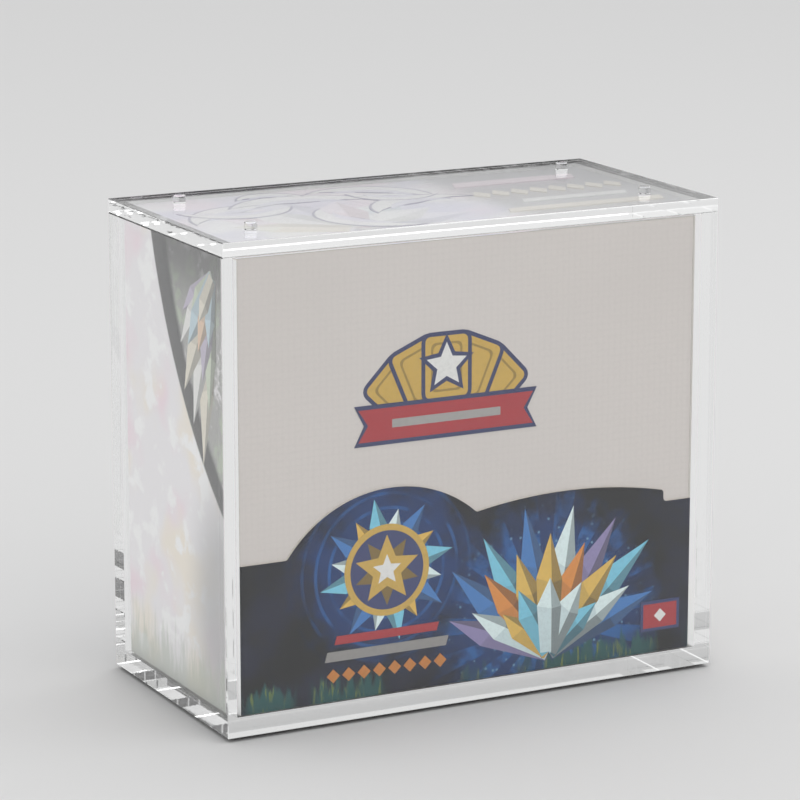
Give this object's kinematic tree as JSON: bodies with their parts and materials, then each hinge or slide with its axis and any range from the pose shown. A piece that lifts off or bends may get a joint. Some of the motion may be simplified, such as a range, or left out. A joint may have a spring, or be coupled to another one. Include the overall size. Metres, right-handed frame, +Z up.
{
  "type": "trading card display case",
  "caption": "Clear acrylic case with a loose lid and stacking pegs, shown with a sealed carton of card packs standing inside it.",
  "frame": {"origin": "centre of the underside, on the surface the case stands on", "axes": "+Z up; -Y is the front, the wide face towards the viewer; +X to the right seen from the front"},
  "size_m": [0.155, 0.0786, 0.1405],
  "materials": {
    "clear_acrylic": "clear cast acrylic sheet and rod, flame polished edges",
    "printed_board": "folding boxboard, printed and satin varnished outside",
    "plain_board": "unprinted grey back of the same board",
    "pack_film": "cards sealed in metallised film, satin"
  },
  "bodies": {
    "case": {"base_plate": "clear_acrylic", "front_panel": "clear_acrylic", "back_panel": "clear_acrylic", "left_panel": "clear_acrylic", "right_panel": "clear_acrylic"},
    "lid": {"lid_plate": "clear_acrylic", "stacking_peg_front_left": "clear_acrylic", "stacking_peg_front_right": "clear_acrylic", "stacking_peg_back_left": "clear_acrylic", "stacking_peg_back_right": "clear_acrylic"},
    "carton": {"carton_floor": "plain_board", "carton_back_wall": "printed_board", "carton_left_wall": "printed_board", "carton_right_wall": "printed_board", "carton_front_lip": "printed_board", "carton_top_flap": "printed_board", "carton_tuck_flap": "printed_board", "carton_dust_flap_left": "plain_board", "carton_dust_flap_right": "plain_board", "pack_left_01": "pack_film", "pack_left_02": "pack_film", "pack_left_03": "pack_film", "pack_left_04": "pack_film", "pack_left_05": "pack_film", "pack_left_06": "pack_film", "pack_left_07": "pack_film", "pack_left_08": "pack_film", "pack_left_09": "pack_film", "pack_left_10": "pack_film", "pack_left_11": "pack_film", "pack_left_12": "pack_film", "pack_left_13": "pack_film", "pack_left_14": "pack_film", "pack_left_15": "pack_film", "pack_left_16": "pack_film", "pack_left_17": "pack_film", "pack_left_18": "pack_film", "pack_right_01": "pack_film", "pack_right_02": "pack_film", "pack_right_03": "pack_film", "pack_right_04": "pack_film", "pack_right_05": "pack_film", "pack_right_06": "pack_film", "pack_right_07": "pack_film", "pack_right_08": "pack_film", "pack_right_09": "pack_film", "pack_right_10": "pack_film", "pack_right_11": "pack_film", "pack_right_12": "pack_film", "pack_right_13": "pack_film", "pack_right_14": "pack_film", "pack_right_15": "pack_film", "pack_right_16": "pack_film", "pack_right_17": "pack_film", "pack_right_18": "pack_film"}
  },
  "joints": [
    {"name": "carton_lift", "type": "slide", "parent": "case", "child": "carton", "axis": [0, 0, 1], "range_m": [0, 0.14]},
    {"name": "lid_lift", "type": "slide", "parent": "case", "child": "lid", "axis": [0, 0, 1], "range_m": [0, 0.28]}
  ],
  "couplings": [
    {"joint": "lid_lift", "follows": "carton_lift", "ratio": 2}
  ]
}
